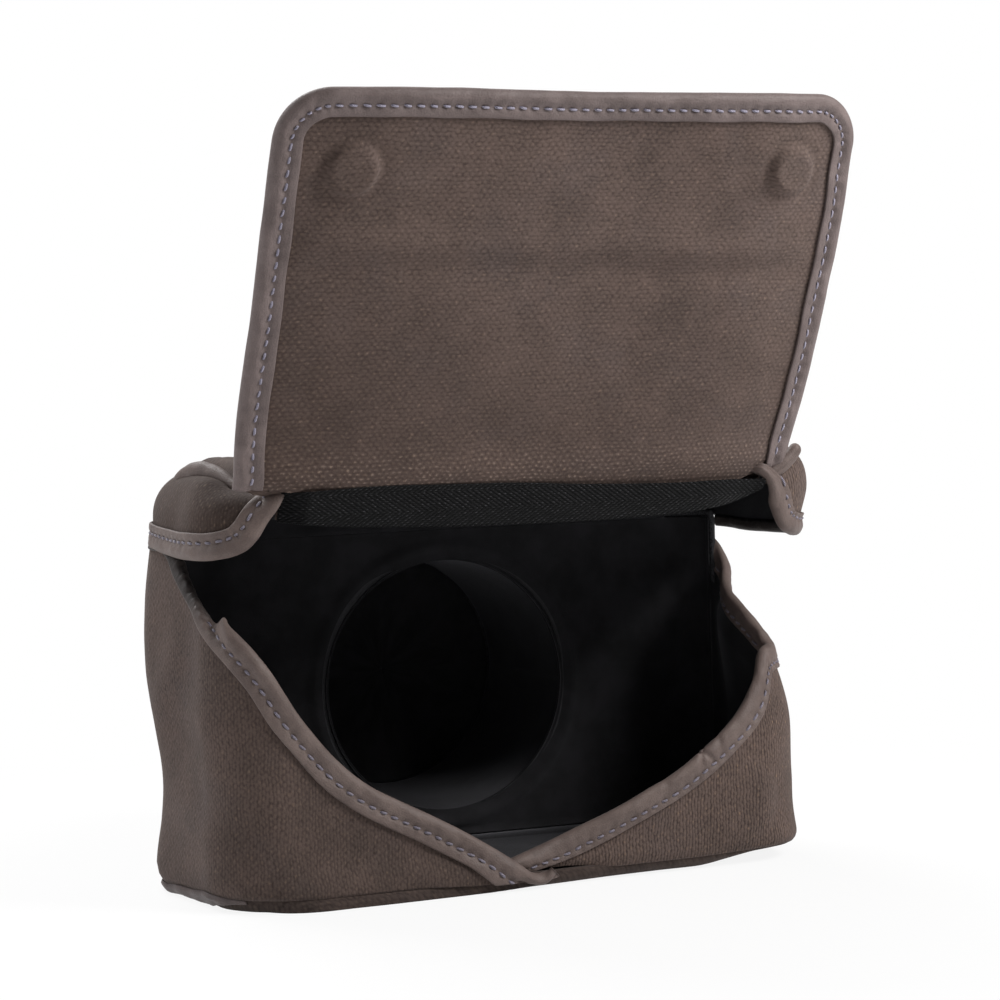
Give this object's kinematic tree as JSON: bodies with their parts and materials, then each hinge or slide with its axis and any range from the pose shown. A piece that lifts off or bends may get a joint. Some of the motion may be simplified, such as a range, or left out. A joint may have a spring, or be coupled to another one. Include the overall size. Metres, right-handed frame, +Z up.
{
  "type": "canvas camera case",
  "caption": "Padded canvas case with a lens barrel, crossed back wings, a hood with strap openings and a magnet flap that folds over the open back.",
  "frame": {"origin": "middle of the base's underside, on the surface that the case stands on", "axes": "+Z up, +Y the way the lens barrel points, +X to the right as seen from the open back"},
  "size_m": [0.1538, 0.1395, 0.1803],
  "materials": {
    "canvas": "heavy plain-woven canvas with a dry waxed, mottled face",
    "foam": "closed-cell padding foam, counted as fabric",
    "lining": "black brushed lining",
    "leather": "thin smooth grey-brown leather, folded and stitched",
    "tape": "black herringbone twill tape",
    "board": "thin stiffening board",
    "magnet": "plated disc magnet"
  },
  "bodies": {
    "case": {"base_binding_left": "leather", "base_binding_right": "leather", "base_foam": "foam", "base_lining": "lining", "base_panel": "canvas", "ear_binding_left": "leather", "ear_binding_right": "leather", "ear_left": "canvas", "ear_lining_left": "lining", "ear_lining_right": "lining", "ear_right": "canvas", "front_foam": "foam", "front_lining": "lining", "front_panel": "canvas", "hinge_tape": "tape", "hood_foam": "foam", "hood_lining": "lining", "hood_panel": "canvas", "hood_piping_left": "leather", "hood_piping_right": "leather", "lens_band": "canvas", "lens_cap": "canvas", "lens_cap_foam": "foam", "lens_cap_lining": "lining", "lens_foam": "foam", "lens_lining": "lining", "wing_binding_left": "leather", "wing_binding_right": "leather", "wing_foam_left": "foam", "wing_foam_right": "foam", "wing_left": "canvas", "wing_lining_left": "lining", "wing_lining_right": "lining", "wing_magnet_left": "magnet", "wing_magnet_right": "magnet", "wing_right": "canvas"},
    "flap": {"flap_binding": "leather", "flap_board": "board", "flap_inner": "canvas", "flap_magnet_left": "magnet", "flap_magnet_right": "magnet", "flap_outer": "canvas"}
  },
  "joints": [
    {"name": "flap_hinge", "type": "hinge", "parent": "case", "child": "flap", "pos_m": [0, -0.0314, 0.0935], "axis": [1, 0, 0], "range_deg": [-35, 157]}
  ]
}
